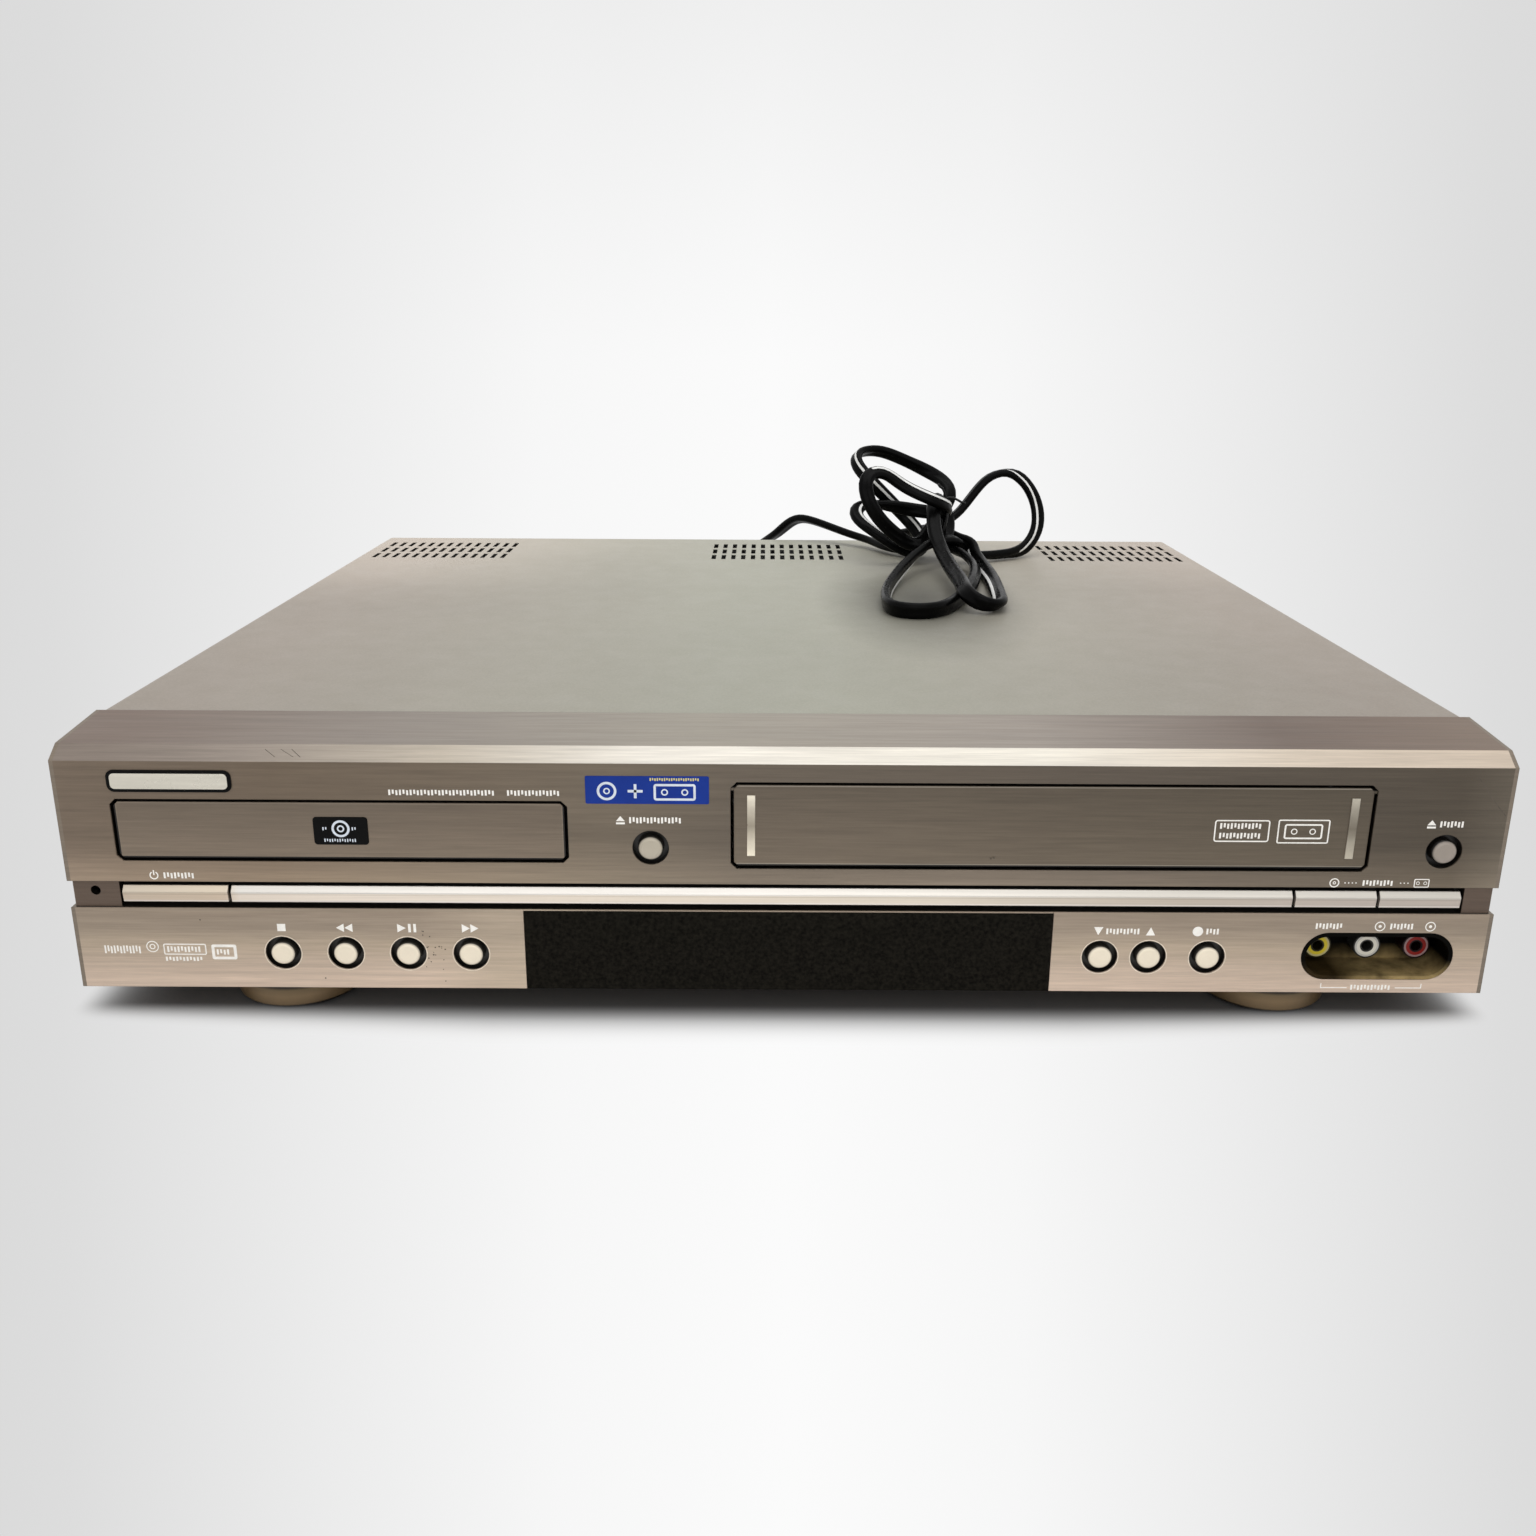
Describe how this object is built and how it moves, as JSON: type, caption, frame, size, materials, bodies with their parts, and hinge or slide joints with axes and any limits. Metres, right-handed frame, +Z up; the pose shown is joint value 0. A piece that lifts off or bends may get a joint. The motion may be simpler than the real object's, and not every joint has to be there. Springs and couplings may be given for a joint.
{
  "type": "disc and cassette player",
  "caption": "Low rectangular disc and cassette player: case with disc tray, cassette flap and holder, disc drive, tape deck, buttons, feet and a tied mains cord.",
  "frame": {"origin": "middle of the case's footprint (without the mains cord), on the surface that the feet stand on", "axes": "+X to the right along the front, +Y to the rear, +Z up; the front panel faces -Y"},
  "size_m": [0.4324, 0.4128, 0.1447],
  "materials": {
    "cover_paint": "fine satin grey paint",
    "panel_upper": "champagne metallic plastic, brushed look",
    "door_plastic": "brown-grey metallic plastic",
    "sheet_steel": "galvanised sheet",
    "bright_trim": "satin bright trim",
    "button_caps": "pale satin metallic plastic",
    "window_smoke": "dark smoked window",
    "foot_plastic": "bronze coloured plastic",
    "foot_rubber": "soft rubber pad",
    "screw_steel": "black oxide",
    "black_plastic": "black moulding",
    "yellow_plastic": "yellow phono jack",
    "white_plastic": "white phono jack",
    "red_plastic": "red phono jack",
    "board_green": "coated circuit board",
    "board_brown": "paper circuit board",
    "display_glass": "vacuum display glass",
    "tray_plastic": "dark grey moulding",
    "machined_alu": "turned aluminium",
    "steel_rod": "ground steel",
    "pale_plastic": "natural acetal",
    "brass": "turned brass",
    "belt_rubber": "drive belt",
    "cord_pvc": "black flexible cord"
  },
  "bodies": {
    "case": {"top_cover": "cover_paint", "chassis_tray": "sheet_steel", "rear_panel": "sheet_steel", "front_panel": "panel_upper", "display_window": "window_smoke", "feet": "foot_plastic", "foot_pads": "foot_rubber", "case_screws": "screw_steel", "trim_strip": "bright_trim", "tape_door_spring": "steel_rod", "jack_recess": "black_plastic", "front_video_jack": "yellow_plastic", "front_left_jack": "white_plastic", "front_right_jack": "red_plastic", "front_board": "board_brown", "display_tube": "display_glass", "loader_frame": "black_plastic", "clamp_bridge": "sheet_steel", "loading_motor": "sheet_steel", "loading_belt": "belt_rubber", "deck_plate": "sheet_steel", "lower_drum": "machined_alu", "main_board": "board_green", "power_board": "board_brown", "tuner_can": "sheet_steel", "rear_jacks": "black_plastic", "mains_cord": "cord_pvc", "cord_plug": "cord_pvc", "strain_relief": "cord_pvc"},
    "tray": {"tray_door": "door_plastic", "disc_tray": "tray_plastic"},
    "gear": {"tray_gear": "pale_plastic"},
    "motor_wheel": {"motor_pulley": "brass"},
    "traverse": {"traverse_frame": "sheet_steel", "guide_rods": "steel_rod"},
    "pickup": {"optical_pickup": "tray_plastic"},
    "feed_screw": {"lead_screw": "steel_rod"},
    "disc_motor": {"turntable": "black_plastic"},
    "clamp": {"clamp_puck": "black_plastic"},
    "cassette_flap": {"tape_door": "door_plastic", "tape_door_bars": "bright_trim"},
    "carriage": {"carriage_slides": "sheet_steel"},
    "holder": {"cassette_holder": "sheet_steel"},
    "drum": {"upper_drum": "machined_alu"},
    "capstan_shaft": {"capstan": "steel_rod"},
    "pinch": {"pinch_arm": "black_plastic"},
    "supply": {"supply_reel": "pale_plastic"},
    "take_up": {"take_up_reel": "pale_plastic"},
    "power_press": {"power_key": "bright_trim"},
    "dvd_select_press": {"dvd_select_key": "bright_trim"},
    "vcr_select_press": {"vcr_select_key": "bright_trim"},
    "open_close_press": {"open_close_button": "button_caps"},
    "eject_press": {"eject_button": "button_caps"},
    "stop_press": {"stop_button": "button_caps"},
    "rewind_press": {"rewind_button": "button_caps"},
    "play_pause_press": {"play_pause_button": "button_caps"},
    "forward_press": {"forward_button": "button_caps"},
    "channel_down_press": {"channel_down_button": "button_caps"},
    "channel_up_press": {"channel_up_button": "button_caps"},
    "record_press": {"record_button": "button_caps"}
  },
  "joints": [
    {"name": "tray_slide", "type": "slide", "parent": "case", "child": "tray", "axis": [0, -1, 0], "range_m": [0, 0.135]},
    {"name": "tray_gear_spin", "type": "hinge", "parent": "case", "child": "gear", "pos_m": [-0.0835, -0.15635, 0.0611], "axis": [0, 0, 1], "range_deg": [-5, 1000]},
    {"name": "motor_pulley_spin", "type": "hinge", "parent": "case", "child": "motor_wheel", "pos_m": [-0.1155, -0.14535, 0.0558], "axis": [0, 0, 1], "range_deg": [-10, 2560]},
    {"name": "traverse_tilt", "type": "hinge", "parent": "case", "child": "traverse", "pos_m": [-0.1315, -0.01725, 0.053], "axis": [1, 0, 0], "range_deg": [0, 4]},
    {"name": "spindle_spin", "type": "hinge", "parent": "traverse", "child": "disc_motor", "pos_m": [-0.1315, -0.10725, 0.0635], "axis": [0, 0, 1], "continuous": true},
    {"name": "clamp_spin", "type": "hinge", "parent": "case", "child": "clamp", "pos_m": [-0.1315, -0.10725, 0.0715], "axis": [0, 0, 1], "continuous": true},
    {"name": "pickup_slide", "type": "slide", "parent": "traverse", "child": "pickup", "axis": [0, 1, 0], "range_m": [0, 0.035]},
    {"name": "lead_screw_spin", "type": "hinge", "parent": "traverse", "child": "feed_screw", "pos_m": [-0.1025, -0.05725, 0.0585], "axis": [0, 1, 0], "range_deg": [-20, 4300]},
    {"name": "cassette_flap_hinge", "type": "hinge", "parent": "case", "child": "cassette_flap", "pos_m": [0.0795, -0.17885, 0.0769], "axis": [1, 0, 0], "range_deg": [0, 86], "stiffness_Nm_per_rad": 0.004, "springref_deg": -34.38, "deforming": ["tape_door_spring"]},
    {"name": "carriage_slide", "type": "slide", "parent": "case", "child": "carriage", "axis": [0, 1, 0], "range_m": [0, 0.05]},
    {"name": "holder_drop", "type": "slide", "parent": "carriage", "child": "holder", "axis": [0, 0, -1], "range_m": [0, 0.014]},
    {"name": "drum_spin", "type": "hinge", "parent": "case", "child": "drum", "pos_m": [0.0725, -0.00035, 0.0291], "axis": [0, 0.1045, 0.9945], "continuous": true},
    {"name": "capstan_spin", "type": "hinge", "parent": "case", "child": "capstan_shaft", "pos_m": [0.1395, -0.03035, 0.0415], "axis": [0, 0, 1], "continuous": true},
    {"name": "pinch_swing", "type": "hinge", "parent": "case", "child": "pinch", "pos_m": [0.1635, -0.02235, 0.0335], "axis": [0, 0, 1], "range_deg": [0, 14.5], "stiffness_Nm_per_rad": 0.02},
    {"name": "supply_spin", "type": "hinge", "parent": "case", "child": "supply", "pos_m": [0.0335, -0.10035, 0.0365], "axis": [0, 0, 1], "continuous": true},
    {"name": "take_up_spin", "type": "hinge", "parent": "case", "child": "take_up", "pos_m": [0.1255, -0.10035, 0.0365], "axis": [0, 0, 1], "continuous": true},
    {"name": "power_push", "type": "slide", "parent": "case", "child": "power_press", "axis": [0, 1, 0], "range_m": [0, 0.001], "stiffness_N_per_m": 300},
    {"name": "dvd_select_push", "type": "slide", "parent": "case", "child": "dvd_select_press", "axis": [0, 1, 0], "range_m": [0, 0.001], "stiffness_N_per_m": 300},
    {"name": "vcr_select_push", "type": "slide", "parent": "case", "child": "vcr_select_press", "axis": [0, 1, 0], "range_m": [0, 0.001], "stiffness_N_per_m": 300},
    {"name": "open_close_push", "type": "slide", "parent": "case", "child": "open_close_press", "axis": [0, 1, 0], "range_m": [0, 0.001], "stiffness_N_per_m": 300},
    {"name": "eject_push", "type": "slide", "parent": "case", "child": "eject_press", "axis": [0, 1, 0], "range_m": [0, 0.001], "stiffness_N_per_m": 300},
    {"name": "stop_push", "type": "slide", "parent": "case", "child": "stop_press", "axis": [0, 1, 0], "range_m": [0, 0.001], "stiffness_N_per_m": 300},
    {"name": "rewind_push", "type": "slide", "parent": "case", "child": "rewind_press", "axis": [0, 1, 0], "range_m": [0, 0.001], "stiffness_N_per_m": 300},
    {"name": "play_pause_push", "type": "slide", "parent": "case", "child": "play_pause_press", "axis": [0, 1, 0], "range_m": [0, 0.001], "stiffness_N_per_m": 300},
    {"name": "forward_push", "type": "slide", "parent": "case", "child": "forward_press", "axis": [0, 1, 0], "range_m": [0, 0.001], "stiffness_N_per_m": 300},
    {"name": "channel_down_push", "type": "slide", "parent": "case", "child": "channel_down_press", "axis": [0, 1, 0], "range_m": [0, 0.001], "stiffness_N_per_m": 300},
    {"name": "channel_up_push", "type": "slide", "parent": "case", "child": "channel_up_press", "axis": [0, 1, 0], "range_m": [0, 0.001], "stiffness_N_per_m": 300},
    {"name": "record_push", "type": "slide", "parent": "case", "child": "record_press", "axis": [0, 1, 0], "range_m": [0, 0.001], "stiffness_N_per_m": 300}
  ],
  "couplings": [
    {"joint": "tray_gear_spin", "follows": "tray_slide", "rad_per_m": 125},
    {"joint": "motor_pulley_spin", "follows": "tray_slide", "rad_per_m": 321.43},
    {"joint": "clamp_spin", "follows": "spindle_spin", "ratio": 1},
    {"joint": "lead_screw_spin", "follows": "pickup_slide", "rad_per_m": 2094.4}
  ]
}
